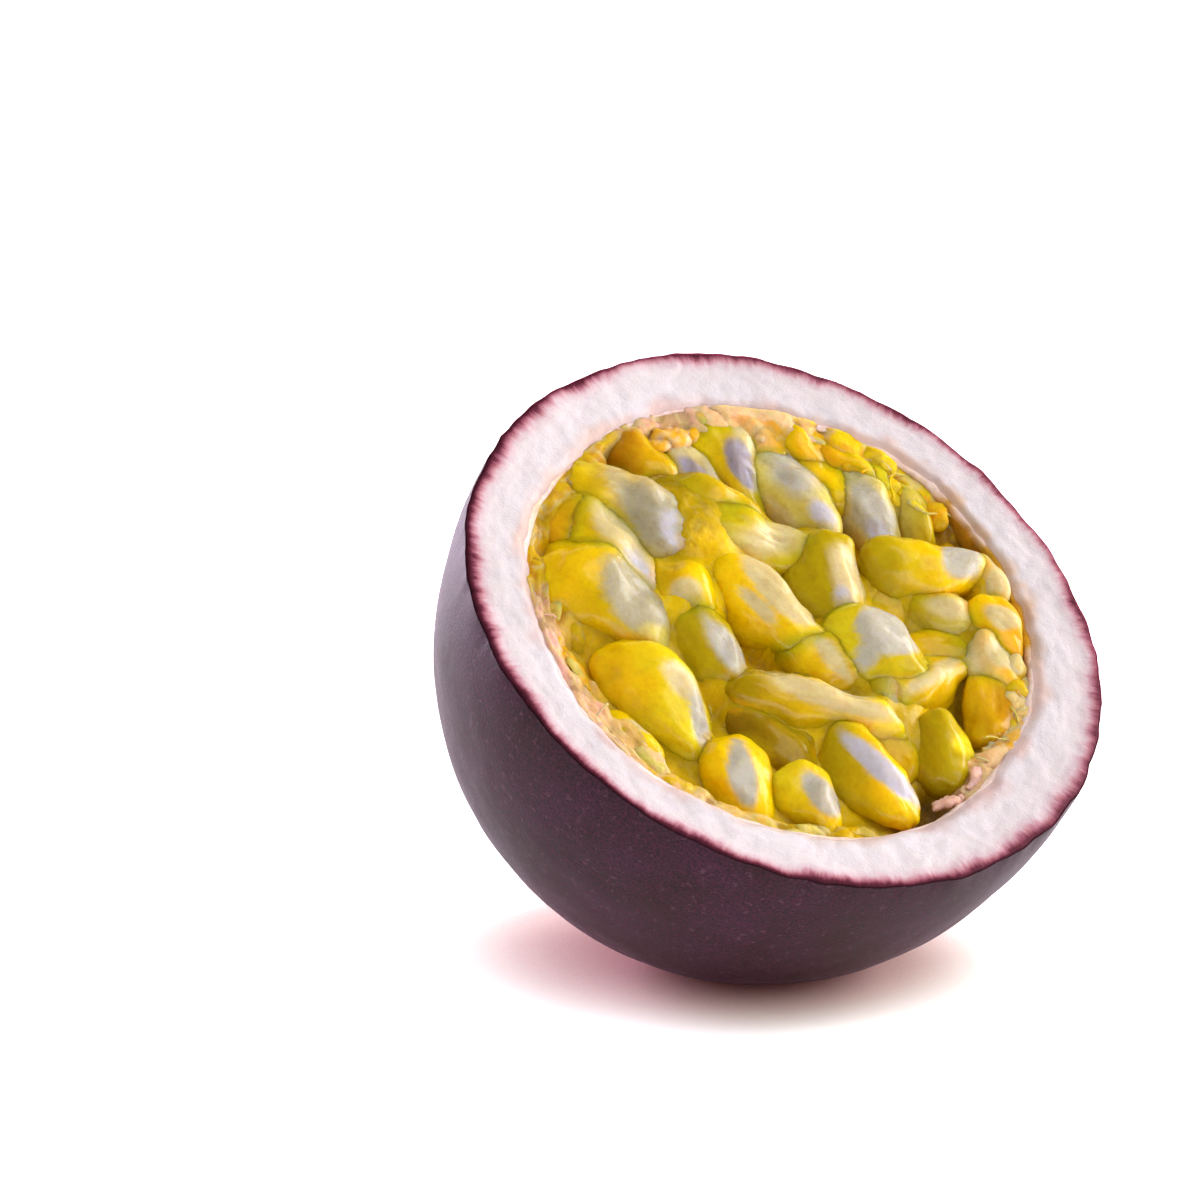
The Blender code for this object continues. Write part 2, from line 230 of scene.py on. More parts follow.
# The pulp where it meets the wall: the angle, its height there, and the two colours that mingle in it
EDGE_STOPS = (
    (-180, -0.5, "ochre", "gold"), (-152, -0.5, "gold", "amber"), (-142, -0.4, "peach", "rose"),
    (-118, -0.4, "peach", "rose"), (-96, -0.5, "peach", "gold"), (-66, -0.6, "gold", "pale"),
    # Where it drops into the gap, from -33 to -25 degrees, its dark colours are painted shade
    (-40, -1.6, "gold", "pale"), (-33, -4.0, "hole_shade", "dark"), (-25, -4.0, "hole_shade", "dark"),
    (-19, -0.9, "rose", "peach"), (0, -0.4, "orange", "peach"), (20, -0.5, "cream", "orange"),
    (34, -1.8, "gold", "orange"), (66, -2.2, "ochre", "gold"), (76, -0.9, "orange", "yolk"),
    (100, -0.2, "orange", "yolk"), (112, -0.1, "peach", "orange"), (140, -0.2, "peach", "rose"),
    (160, -0.4, "gold", "amber"), (180, -0.5, "ochre", "gold"),
)
EDGE_WIDTH = 2.8  # how far in from the wall it reaches
STRIP = (-158, -148, -98, -88)  # the angles where it lies in strips and is wider, and by how much
STRIP_WIDER = 1.2
FAR_SIDE = (98, 108, 148, 158)  # the angles at the far side where it is wider, and by how much
FAR_WIDER = 1.0
LUMP = 2.2  # how wide its lumps are, how high they rise, and how high its strips do
LUMP_RISE = 0.4
STRIP_RISE = 0.28
# The gap is painted dark as shade
PIT = (16.2, -7.2)  # the dark gap in the pulp, to the right and up
PIT_WIDTH = (0.9, 2.5)  # how far out it is at its full depth, and how far out it ends
PIT_DEPTH = 1.3
# Tissue along the wall: from one angle to another, how many lumps, how far in from the wall, how high,
# how wide, how many times as long as wide, how thick for its width, how knobbly, and its colours
TISSUE = (
    (72, 110, 9, (0.3, 2.6), (-1.5, -0.8), (1.7, 2.8), (1.3, 2.2), 0.5, 0.2, ("yolk", "orange", "gold")),
    (74, 108, 6, (0.5, 2.6), (-0.9, -0.4), (0.5, 0.9), (2.5, 4.5), 0.6, 0.3, ("pale", "cream", "yolk")),
    (108, 150, 7, (0.4, 2.2), (-1.3, -0.7), (1.6, 2.6), (1.4, 2.4), 0.5, 0.25, ("peach", "orange", "peach")),
    (-148, -98, 8, (0.7, 2.2), (-1.6, -1.0), (1.2, 2.0), (1.5, 2.6), 0.35, 0.35, ("peach", "pale", "orange")),
    (-150, -100, 6, (0.0, 0.4), (-0.9, -0.4), (0.5, 0.8), (3.0, 5.0), 0.6, 0.4, ("rose", "peach", "peach")),
    (-25, -8, 5, (0.2, 1.5), (-1.5, -0.9), (0.8, 1.6), (1.2, 2.4), 0.5, 0.4, ("rose", "peach", "rose")),
    (-4, 26, 7, (0.2, 1.6), (-1.4, -0.8), (1.5, 2.5), (1.2, 2.0), 0.55, 0.3, ("cream", "orange", "gold")),
)

# Fibres: from one angle to another, how many, how far in they reach, and their colours
STRANDS = (
    (62, 100, 7, (1.5, 4.0), ("orange", "yolk", "pale")),
    (-10, 20, 5, (1.0, 2.6), ("peach", "cream", "pale")),
    (-148, -100, 5, (0.6, 1.8), ("peach", "rose", "cream")),
)
# Glassy threads between sacs: where each starts and ends, and its colour
THREADS = (
    (-1.8, -10.0, -2.3, 0.2, -10.8, -2.4, "pale"),
    (-1.2, -11.2, -2.5, 0.4, -10.4, -2.3, "lemon"),
)
STRAND_RADIUS = (0.06, 0.16)
STRAND_SAG = 0.5
STRAND_WANDER = 0.25  # how far a strand strays from its line, and over what length
STRAND_TWIST = 0.8
STRAND_SIDES = 6
STRAND_STEPS = 12

# Slow lumps of the skin: their size, their height and the seed of each layer
SKIN_LUMPS = ((7.0, 0.10, 3), (2.2, 0.04, 4), (0.9, 0.016, 5))
# The cut's scalloped outer edge: how far it strays, over what length, and how fast that ends down the skin
SCALLOPS = 0.16
SCALLOP_SIZE = 2.4
SCALLOP_FALL = 24

# Colours of the skin and of the pith inward from it, each at its share, 0 to 255
SKIN_TONES = ((0.3, (39, 12, 19)), (0.7, (49, 18, 35)))
SKIN_FLECK = (96, 62, 72)
PITH_FRINGE = (
    (0.0, (62, 16, 30)), (0.06, (92, 30, 48)), (0.11, (150, 82, 98)), (0.18, (192, 138, 148)),
    (0.27, (210, 184, 190)), (0.42, (217, 206, 208)), (1.0, (218, 210, 213)),
)
PITH_DEPTH = 4.0  # how far in from the skin the last of them lies

# Wet flesh of each kind: how fine its speckle is, its roughness, the share of light that goes under its
# surface, the height of its bumps in metres, and the share of its wet coat
WET = {
    "lining": (2.2, 0.32, 0.3, 0.0002, 0.1),
    "sac": (2.0, 0.24, 0.55, 0.00014, 0.5),
    "bed": (2.4, 0.3, 0.4, 0.0002, 0.25),
    "tissue": (3.0, 0.3, 0.4, 0.00015, 0.25),
    "strand": (3.0, 0.25, 0.3, 0.0001, 0.3),
}

# Soft square lights: the direction from the fruit in the camera's right, up and back, the two sizes in
# metres, the power in watts, the colour, and whether matt surfaces and glossy ones take it
LIGHTS = {
    "window": ((0.55, 0.85, 0.15), (0.25, 0.25), 1.15, (1.0, 1.0, 1.0), True, False),
    "card": ((0.75, 0.8, 0.35), (0.3, 0.42), 0.6, (1.0, 1.0, 1.0), False, True),
    "glint": ((1.0, 0.15, -0.5), (0.3, 0.5), 2.0, (1.0, 1.0, 1.0), False, True),
    "left": ((-1.0, 0.06, -0.85), (0.3, 0.5), 8.4, (0.92, 0.79, 1.0), True, True),
    "right": ((1.0, 0.1, -0.55), (0.3, 0.5), 5.5, (1.0, 0.93, 0.95), True, False),
}
LIGHT_DISTANCE = 0.5
STUDIO_LIGHT = 0.6

# The floor: its size and how near the fruit must be for its painted shadow, in metres. The painted
# shadow is weaker to the right and towards the camera, by these shares of the way, this far out in metres
# and by this much
FLOOR_SIZE = 6.0
SHADE_REACH = 0.0115
FADE_WAY = (0.5, 1.0)
FADE_LENGTH = 0.02
FADE = 0.26

# Facets
BLOB_SEGMENTS = 28
BLOB_RINGS = 20
BED_ROWS = 150
BED_COARSE = 2
BODY_ROWS = 24
AROUND = 512
SKIN_ROWS = 84
FACE_ROWS = 34
WALL_ROWS = 26
SAC_SEGMENTS = 56
SAC_RINGS = 39
HALVINGS = 14

# How random values are looked up by place
NOISE_TABLE = 8191
HASH = (73856093, 19349663, 83492791)


def to_linear(colour):
    """A colour given 0 to 255 as linear light."""
    share = np.array(colour) / 255
    return np.where(share <= 0.04045, share / 12.92, ((share + 0.055) / 1.055) ** 2.4)


def linear(name):
    """A palette colour as linear light."""
    return to_linear(PALETTE[name])


def smooth(low, high, value):
    """0 at low, 1 at high, with an even start and end."""
    share = np.clip((value - low) / (high - low), 0, 1)
    return share * share * (3 - 2 * share)


def between(value, marks):
    """1 between the two middle marks and 0 outside the outer ones."""
    return smooth(marks[0], marks[1], value) * smooth(marks[3], marks[2], value)


def mixed(first, second, share):
    return first + (second - first) * np.asarray(share)[..., None]


def noise(points, size, seed=0):
    """Smooth random values from -1 to 1 that change over about this size."""
    table = np.random.default_rng(seed).uniform(-1, 1, NOISE_TABLE)
    cells = np.asarray(points) / size
    base = np.floor(cells).astype(np.int64)
    part = cells - base
    part = part * part * (3 - 2 * part)
    total = np.zeros(cells.shape[:-1])
    for corner in product((0, 1), repeat=3):
        x, y, z = np.moveaxis(base + np.array(corner), -1, 0)
        picked = table[(x * HASH[0] ^ y * HASH[1] ^ z * HASH[2]) % NOISE_TABLE]
        total += np.prod(np.where(corner, part, 1 - part), axis=-1) * picked
    return total


def fractal(points, size, seed=0, layers=3):
    """Noise with finer and fainter layers on it."""
    return sum(noise(points, size / 2**k, seed + k) / 2**k for k in range(layers))


def ridged(points, size, seed=0):
    """Narrow ridges and hollows of about this size, from -1 to 1."""
    return 1 - 2 * np.abs(noise(points, size, seed) + 0.4 * noise(points, size / 2.2, seed + 1))


def pebbles(flat, size, seed):
    """Rounded lumps packed over a plane: how high each point is, 0 to 1, and a value for its lump."""
    table = np.random.default_rng(seed).uniform(0, 1, (NOISE_TABLE, 4))
    grid = flat / size
    base = np.floor(grid).astype(np.int64)
    best = np.zeros(grid.shape[:-1])
    mark = np.zeros(grid.shape[:-1])
    for step in product((-1, 0, 1), repeat=2):
        cell = base + np.array(step)
        drawn = table[(cell[..., 0] * HASH[0] ^ cell[..., 1] * HASH[1]) % NOISE_TABLE]
        reach = 0.5 + 0.4 * drawn[..., 2]
        apart = np.linalg.norm(grid - cell - drawn[..., :2], axis=-1) / reach
        height = reach * np.sqrt(np.clip(1 - apart**2, 0, None))
        mark = np.where(height > best, drawn[..., 3], mark)
        best = np.maximum(best, height)
    return best, mark


def placed(points):
    """Points of the fruit's own frame, leant into place, in metres."""
    turn = Matrix.Rotation(LEAN, 3, "X") @ Matrix.Rotation(SPIN, 3, "Z")
    return (np.asarray(points) @ np.array(turn).T + np.array(CUT_CENTRE)) * MM


def camera_axes(azimuth, elevation):
    """The camera's right, up and back as world directions."""
    right = Vector((cos(azimuth), sin(azimuth), 0.0))
    back = Vector((sin(azimuth) * cos(elevation), -cos(azimuth) * cos(elevation), sin(elevation)))
    return right, back.cross(right), back


def seen(points):
    """Where points of the fruit lie in the picture: right and up of the cut's centre, in millimetres."""
    offset = placed(points) / MM - np.array(CUT_CENTRE)
    right, up, back = (offset @ np.array(axis) for axis in camera_axes(AZIMUTH, ELEVATION))
    nearer = DISTANCE / (DISTANCE - back)
    return np.stack([right * nearer, up * nearer], axis=-1)


def ripple(angle, waves):
    return sum(height * np.cos(count * (angle - radians(crest))) for count, height, crest in waves)


def side(radius, depth, fall):
    """Radius and height on the oval side, at this angle down from the cut."""
    return radius * (np.cos(fall) + BELLY * np.sin(fall) * np.cos(fall)), -depth * np.sin(fall)


def outer(angle, fall):
    radius, height = side(RIM_RADIUS, BODY_DEPTH, fall)
    return radius * (1 + ripple(angle, OUTER_WAVES) / RIM_RADIUS), height + 0 * angle


def wall(angle, fall):
    radius, height = side(CAVITY_RADIUS, CAVITY_DEPTH, fall)
    return radius * (1 + ripple(angle, CAVITY_WAVES) / MOUTH_RADIUS), height + 0 * angle


def wall_radius(angle, height):
    """The hollow's radius at this height; over the cut it is the mouth's."""
    fall = np.arcsin(np.clip(-height / CAVITY_DEPTH, 0, 1))
    return wall(angle, fall)[0]


def polar(angle, radius, height):
    return np.stack(np.broadcast_arrays(radius * np.cos(angle), radius * np.sin(angle), height), -1)


def angle_of(points):
    return np.arctan2(points[..., 1], points[..., 0])


def round_colour(angle, stops):
    """The colour at this angle between stops of an angle and a colour."""
    marks = [stop[0] for stop in stops]
    colours = np.array([linear(stop[-1]) for stop in stops])
    degrees = np.degrees(angle)
    return np.stack([np.interp(degrees, marks, colours[:, k]) for k in range(3)], axis=-1)


def ring_faces(rows, columns, start=0):
    """Quads between rows of points, each row closed on itself."""
    here = start + np.arange(columns)
    after = start + np.roll(np.arange(columns), -1)
    steps = np.arange(rows - 1)[:, None] * columns
    quads = np.stack([here + steps, after + steps, after + steps + columns, here + steps + columns], -1)
    return quads.reshape(-1, 4).tolist()


def fan_faces(centre, ring, flip=False):
    pairs = zip(ring, np.roll(ring, -1))
    return [(centre, int(b), int(a)) if flip else (centre, int(a), int(b)) for a, b in pairs]


def closed_rows(rows, top, bottom, start=0):
    """Points and faces of a closed surface from rings, with a point at each end."""
    count, columns = rows.shape[:2]
    points = np.concatenate([rows.reshape(-1, 3), [top], [bottom]])
    faces = ring_faces(count, columns, start)
    first = start + np.arange(columns)
    faces += fan_faces(start + count * columns, first, flip=True)
    faces += fan_faces(start + count * columns + 1, first + (count - 1) * columns)
    return points, faces


def add_attribute(mesh, name, values):
    """Values for each point: numbers, vectors or, for the name tint, colours."""
    values = np.asarray(values, np.float32)
    if name == "tint":
        values = np.concatenate([values, np.ones((len(values), 1), np.float32)], axis=1)
        mesh.attributes.new(name, "FLOAT_COLOR", "POINT").data.foreach_set("color", values.ravel())
    elif values.ndim == 2:
        mesh.attributes.new(name, "FLOAT_VECTOR", "POINT").data.foreach_set("vector", values.ravel())
    else:
        mesh.attributes.new(name, "FLOAT", "POINT").data.foreach_set("value", values)


def make_piece(name, points, faces, materials, slot, **attributes):
    """A smooth mesh that rides on the fruit, leant into place and kept above the floor."""
    world = placed(points)
    world[:, 2] = np.maximum(world[:, 2], 0.0)
    mesh = bpy.data.meshes.new(name)
    mesh.from_pydata(world.tolist(), [], faces)
    add_attribute(mesh, "place", points)
    for key, values in attributes.items():
        add_attribute(mesh, key, values)
    for material in materials:
        mesh.materials.append(material)
    mesh.shade_smooth()
    piece = bpy.data.objects.new(name, mesh)
    bpy.context.scene.collection.objects.link(piece)
    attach(piece, "root")
    return piece


class Nodes:
    """Short words for building a material's nodes."""

    def __init__(self, name):
        self.material = bpy.data.materials.new(name)
        self.material.use_nodes = True
        self.tree = self.material.node_tree
        self.shader = self.tree.nodes["Principled BSDF"]

    def add(self, kind, inputs=(), **settings):
        node = self.tree.nodes.new(kind)
        for key, value in settings.items():
            setattr(node, key, value)
        for key, value in dict(inputs).items():
            self.feed(node.inputs[key], value)
        return node

    def feed(self, socket, value):
        if isinstance(value, bpy.types.NodeSocket):
            self.tree.links.new(value, socket)
        else:
            socket.default_value = value

    def read(self, name, output="Vector"):
        return self.add("ShaderNodeAttribute", attribute_name=name).outputs[output]

    def noise(self, vector, scale, detail=2.0, rough=0.5):
        made = self.add(
            "ShaderNodeTexNoise",
            {"Vector": vector, "Scale": scale, "Detail": detail, "Roughness": rough},
        )
        return made.outputs[0]

    def maths(self, operation, first, second=0.0):
        node = self.add("ShaderNodeMath", operation=operation)
        self.feed(node.inputs[0], first)
        self.feed(node.inputs[1], second)
        return node.outputs[0]

    def ramp(self, factor, stops):
        node = self.add("ShaderNodeValToRGB", {"Fac": factor})
        marks = node.color_ramp.elements
        while len(marks) < len(stops):
            marks.new(0.5)
        for mark, (where, colour) in zip(marks, stops):
            mark.position = where
            mark.color = (*colour, 1.0)
        return node.outputs["Color"]

    def mix(self, factor, first, second, blend="MIX"):
        node = self.add("ShaderNodeMix", data_type="RGBA", blend_type=blend)
        self.feed(node.inputs["Factor"], factor)
        self.feed(node.inputs[6], first)
        self.feed(node.inputs[7], second)
        return node.outputs[2]

    def stretch(self, value, low, high, to_low, to_high):
        made = self.add(
            "ShaderNodeMapRange",
            {"Value": value, "From Min": low, "From Max": high, "To Min": to_low, "To Max": to_high},
        )
        return made.outputs[0]

    def bump(self, height, distance, strength=1.0):
        made = self.add("ShaderNodeBump", {"Height": height, "Distance": distance, "Strength": strength})
        return made.outputs[0]

    def finish(self, **inputs):
        for key, value in inputs.items():
            self.feed(self.shader.inputs[key.replace("_", " ")], value)
        return self.material


def grey(value):
    return (value, value, value)


def linear_stops(stops):
    """A ramp's stops with their colours, given 0 to 255, as linear light."""
    return [(where, tuple(to_linear(colour))) for where, colour in stops]


def skin_material():
    """Dusky purple with fine paler speckles and slow mottling."""
    n = Nodes("skin")
    place = n.read("place")
    speckle = n.noise(place, 4.6, 4.0, 0.65)
    mottle = n.noise(place, 0.16, 3.0)
    tone = n.ramp(mottle, linear_stops(SKIN_TONES))
    spots = n.ramp(speckle, [(0.36, grey(0.45)), (0.5, grey(1.0)), (0.68, (1.95, 1.7, 1.8))])
    colour = n.mix(1.0, tone, spots, "MULTIPLY")
    fleck = n.stretch(n.noise(place, 1.9, 2.0, 0.4), 0.62, 0.76, 0.0, 0.35)
    colour = n.mix(fleck, colour, (*to_linear(SKIN_FLECK), 1.0))
    rough = n.stretch(speckle, 0.3, 0.7, 0.42, 0.56)
    normal = n.bump(speckle, 0.00006, 0.5)
    return n.finish(
        Base_Color=colour, Roughness=rough, Normal=normal, Specular_IOR_Level=0.1, Sheen_Weight=0.11,
        Sheen_Roughness=0.15, Sheen_Tint=(0.92, 0.6, 0.9, 1.0),
    )


def pith_material():
    """White pith with a mauve fringe of short fibres under a dark line of skin."""
    n = Nodes("pith")
    place = n.read("place")
    spoke = n.read("spoke")
    depth = n.read("depth", "Fac")
    fibre = n.noise(spoke, 2.0, 4.0, 0.6)
    patchy = n.noise(spoke, 0.22, 2.0)
    fine = n.stretch(fibre, 0.25, 0.75, -0.27, 0.27)
    slow = n.stretch(patchy, 0.3, 0.7, -0.35, 0.35)
    shift = n.maths("MULTIPLY", n.maths("ADD", fine, slow), n.stretch(depth, 0.0, 0.8, 0.25, 1.0))
    shown = n.maths("DIVIDE", n.maths("ADD", depth, shift), PITH_DEPTH)
    fringe = n.ramp(shown, linear_stops(PITH_FRINGE))
    cloudy = n.noise(place, 0.9, 4.0, 0.6)
    blush_and_shadow = n.ramp(cloudy, [(0.3, (0.92, 0.88, 0.92)), (0.5, grey(1.0)), (0.7, (1.0, 0.96, 0.94))])
    colour = n.mix(0.75, fringe, blush_and_shadow, "MULTIPLY")
    colour = n.mix(1.0, colour, n.read("tint", "Color"), "MULTIPLY")
    grain = n.noise(place, 4.0, 3.0, 0.7)
    rough = n.stretch(grain, 0.3, 0.7, 0.5, 0.7)
    return n.finish(
        Base_Color=colour, Roughness=rough, Normal=n.bump(grain, 0.00012, 0.5), Specular_IOR_Level=0.15,
        Subsurface_Weight=0.25, Subsurface_Radius=(1.0, 0.7, 0.7), Subsurface_Scale=0.0012,
    )


def wet_material(name):
    """Wet fruit flesh in the piece's own tint, a little uneven."""
    speckle_scale, roughness, subsurface, bump, coat = WET[name]
    n = Nodes(name)
    place = n.read("place")
    tint = n.read("tint", "Color")
    fine = n.noise(place, speckle_scale, 4.0, 0.6)
    slow = n.noise(place, 0.5, 2.0)
    uneven = n.ramp(fine, [(0.3, (0.86, 0.80, 0.70)), (0.5, grey(1.0)), (0.75, (1.08, 1.1, 1.2))])
    colour = n.mix(0.6, tint, uneven, "MULTIPLY")
    rough = n.stretch(slow, 0.3, 0.7, roughness * 0.8, roughness * 1.3)
    return n.finish(
        Base_Color=colour, Roughness=rough, Normal=n.bump(fine, bump, 0.6), Coat_Weight=coat,
        Coat_Roughness=0.12, Subsurface_Weight=subsurface, Subsurface_Radius=(1.0, 0.6, 0.1),
        Subsurface_Scale=0.0026, Specular_IOR_Level=0.12,
    )


def floor_material():
    """White board that glows where it is open, as painted light, with a painted red shadow near the fruit."""
    n = Nodes("floor")
    place = n.add("ShaderNodeTexCoord").outputs["Object"]
    faint = n.noise(place, 40.0)
    board = n.ramp(faint, [(0.3, grey(0.955)), (0.7, grey(0.965))])
    open_share = n.add("ShaderNodeAmbientOcclusion", {"Distance": SHADE_REACH}, samples=8).outputs["AO"]
    right, _, near = camera_axes(AZIMUTH, 0.0)
    way = tuple(right * FADE_WAY[0] + near * FADE_WAY[1])
    along = n.add("ShaderNodeVectorMath", {0: place, 1: way}, operation="DOT_PRODUCT").outputs["Value"]
    fade = n.stretch(along, -FADE_LENGTH, FADE_LENGTH, -FADE, FADE)
    open_share = n.maths("ADD", open_share, fade)
    # Painted shadow: red and darker where the fruit stands close, weaker to the right and towards the camera
    blush_and_shadow = n.ramp(
        open_share,
        [(0.1, (0.7, 0.36, 0.36)), (0.4, (0.95, 0.78, 0.71)), (0.6, (1.0, 0.98, 0.93)), (0.8, grey(1.0))],
    )
    colour = n.mix(1.0, board, blush_and_shadow, "MULTIPLY")
    # Painted light: the board glows where it is open, and less in the painted shadow
    painted_glow = n.ramp(
        open_share,
        [(0.1, (0.02, 0.0, 0.0)), (0.34, (0.16, 0.08, 0.07)), (0.55, (0.5, 0.43, 0.38)), (0.78, grey(1.0))],
    )
    return n.finish(
        Base_Color=colour, Roughness=0.9, Specular_IOR_Level=0.0, Emission_Color=painted_glow, Emission_Strength=0.7,
    )


def blossom_scar(radius, height):
    """The body's blossom end, dented in a small ring round a lower knob."""
    dent = SCAR_DENT * np.exp(-(((radius - SCAR_RING * 0.75) / (SCAR_RING * 0.55)) ** 2))
    return height + dent


def rind_tint(points, depth):
    """White over the cut, stained towards the hollow, then the wall's colours below its lip."""
    angle = angle_of(points)
    wall_colour = round_colour(angle, WALL_STOPS) * (1 + 0.25 * fractal(points, 1.1, 36))[:, None]
    lip = linear("lip")
    stain = smooth(3.6, 5.2, depth + 0.7 * fractal(points, 2.2, 33))
    bare = between(np.degrees(angle), BARE_WALL)
    # Painted shade: the white is darker towards the right and the far side of the cut
    shade = 1 - 0.14 * smooth(-10, 16, points @ (0.6, 0.8, 0.0))
    white = np.ones(3) * shade[:, None]
    face = mixed(white, mixed(lip, wall_colour, 0.35 + 0.5 * bare), 0.72 * stain)
    down = smooth(0.1, 1.3 - 0.9 * bare, -points[:, 2] + 0.35 * fractal(points, 1.5, 39))
    lining = mixed(lip, wall_colour, down)
    on_face = (depth < WALL_DEPTH) | (points[:, 2] > -0.05)
    return np.where(on_face[:, None], face, lining)


def cut_face(angle, rim):
    """Rows of points over the cut from the skin to the hollow, and how far in from the skin each row is."""
    mouth = wall(angle, 0.0)[0] + 0.25
    mouth = mouth + 0.26 * fractal(polar(angle, CAVITY_RADIUS, 0.0), 2.2, 8)
    shares = np.concatenate([[0.004, 0.012, 0.025, 0.045], np.linspace(0.07, 1.0, FACE_ROWS - 4)])
    face = np.array([polar(angle, rim + (mouth - rim) * share, 0.0) for share in shares])
    inner = ((1 - shares) * (RIM_RADIUS - CAVITY_RADIUS))[:, None]
    edge = (shares * (RIM_RADIUS - CAVITY_RADIUS))[:, None]
    relief = 0.07 * fractal(face, 1.6, 20) + 0.03 * noise(face, 0.45, 24)
    bulge = smooth(0, 0.22, edge) - smooth(0.3, 2.2, edge)
    lip = (1 - smooth(0, 0.9, inner)) ** 2
    corner = (1 - smooth(0, 0.35, edge)) ** 2
    face[..., 2] = relief * smooth(0, 0.6, edge) + 0.10 * bulge - 0.35 * lip - 0.12 * corner
    return face, edge


def make_rind():
    """Skin, cut face and the hollow's wall as one closed surface."""
    angle = np.linspace(-pi, pi, AROUND, endpoint=False)
    falls = pi / 2 * np.linspace(1, 0, SKIN_ROWS + 1)[1:] ** 1.3
    skin = np.array([polar(angle, *outer(angle, fall)) for fall in falls])
    radius = np.hypot(skin[..., 0], skin[..., 1])
    away_from_cut = smooth(0, 0.25, falls)[:, None]
    lumps = sum(height * noise(skin, size, seed) for size, height, seed in SKIN_LUMPS)
    skin *= (1 + lumps * away_from_cut / RIM_RADIUS)[..., None]
    skin[..., 2] = blossom_scar(radius, skin[..., 2])
    scallops = SCALLOPS * (fractal(polar(angle, RIM_RADIUS, 0.0), SCALLOP_SIZE, 140) - 0.5)
    skin[..., :2] *= (1 + scallops * np.exp(-SCALLOP_FALL * falls[:, None]) / RIM_RADIUS)[..., None]

    face, edge = cut_face(angle, outer(angle, 0.0)[0] + scallops)
    falls = np.linspace(0, pi / 2, WALL_ROWS + 2)[1:-1] ** 1.35 / (pi / 2) ** 0.35
    lining = np.array([polar(angle, *wall(angle, fall)) for fall in falls])
    rough_wall = 0.12 * fractal(lining, 1.3, 30)
    lining[..., :2] *= (1 + rough_wall / CAVITY_RADIUS)[..., None]

    rows = np.concatenate([skin, face, lining])
    bottom = (0, 0, -CAVITY_DEPTH)
    end = (0, 0, -BODY_DEPTH + SCAR_DENT / 2)
    points, faces = closed_rows(rows, end, bottom)
    depth = [np.zeros(skin.shape[:2]), np.repeat(edge, AROUND, 1), np.full(lining.shape[:2], WALL_DEPTH)]
    depth = np.concatenate([np.concatenate(depth).ravel(), [0, WALL_DEPTH]])
    spoke = polar(angle_of(points), RIM_RADIUS, depth * 0.3)
    tint = rind_tint(points, depth)
    materials = [skin_material(), pith_material(), wet_material("lining")]
    piece = make_piece("rind", points, faces, materials, "rind", depth=depth, spoke=spoke, tint=tint)
    kinds = np.zeros(len(faces), np.int32)
    kinds[(SKIN_ROWS - 1) * AROUND:] = 1
    kinds[(SKIN_ROWS + FACE_ROWS - 1) * AROUND:] = 2
    kinds[-2 * AROUND:-AROUND] = 0
    piece.data.polygons.foreach_set("material_index", kinds)
    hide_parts("shell")
    return piece


def sac_frames():
    """For each sac its middle, axes, half sizes, taper and bend."""
    draws = np.random.default_rng(5)
    frames = []
    for right, up, over, turn, dip, length, width, _, _ in SACS:
        facing = Matrix.Rotation(radians(turn), 3, "Z") @ Matrix.Rotation(radians(dip), 3, "Y")
        halves = np.array((length, width, width)) / 2 * SWELL
        shape = draws.uniform(*SAC_TAPER), draws.uniform(*SAC_BEND)
        frames.append((np.array((right, up, over)), np.array(facing), halves, *shape))
    return frames


def sac_field(points, sac):
    """Below 1 inside a sac's own bent, tapered, blunt oval and above 1 outside."""
    middle, axes, halves, taper, bend = sac
    local = (points - middle) @ axes / halves
    along = np.clip(local[..., 0], -1.2, 1.2)
    beside = local[..., 1] + bend * (along**2 - 0.4)
    across = np.hypot(beside, local[..., 2]) / (1 - taper * along)
    return (np.abs(local[..., 0]) ** BLUNT + across**BLUNT) ** (2 / BLUNT)


def joined(fields, cling):
    """Fields as one, which swells where several are near: the more, the less the cling."""
    return -np.log(np.exp(-cling * fields).sum(axis=0)) / cling


def warped(points):
    """Points pulled slowly out of true, so that no sac is a perfect oval."""
    pull = [
        noise(points, WARP_SIZE, 200 + k) + 0.45 * noise(points, WARP_SIZE / 2.3, 210 + k) for k in range(3)
    ]
    return points + WARP * np.stack(pull, axis=-1)


def ball(segments, rings):
    """The points of a unit ball: its rings round x, then its two ends."""
    falls = np.linspace(0, pi, rings + 1)[1:-1, None]
    turns = np.linspace(0, 2 * pi, segments, endpoint=False)[None]
    parts = np.cos(falls), np.sin(falls) * np.cos(turns), np.sin(falls) * np.sin(turns)
    points = np.stack(np.broadcast_arrays(*parts), -1).reshape(-1, 3)
    return np.concatenate([points, [(1, 0, 0)], [(-1, 0, 0)]])


def as_rings(points, segments):
    """A ball's points, reshaped, as its rings and its two ends."""
    return points[:-2].reshape(-1, segments, 3), points[-2], points[-1]


def make_wet_piece(name, material, shapes):
    """One piece of the pulp from closed shapes, each given as its rings, its two ends and its colours."""
    points, faces, tint = [], [], []
    count = 0
    for rings, first, last, colours in shapes:
        shape, sides = closed_rows(rings, first, last, count)
        points.append(shape)
        faces += sides
        tint.append(colours)
        count += len(shape)
    points, tint = np.concatenate(points), np.concatenate(tint)
    return make_piece(name, points, faces, [wet_material(material)], "pulp", tint=tint)


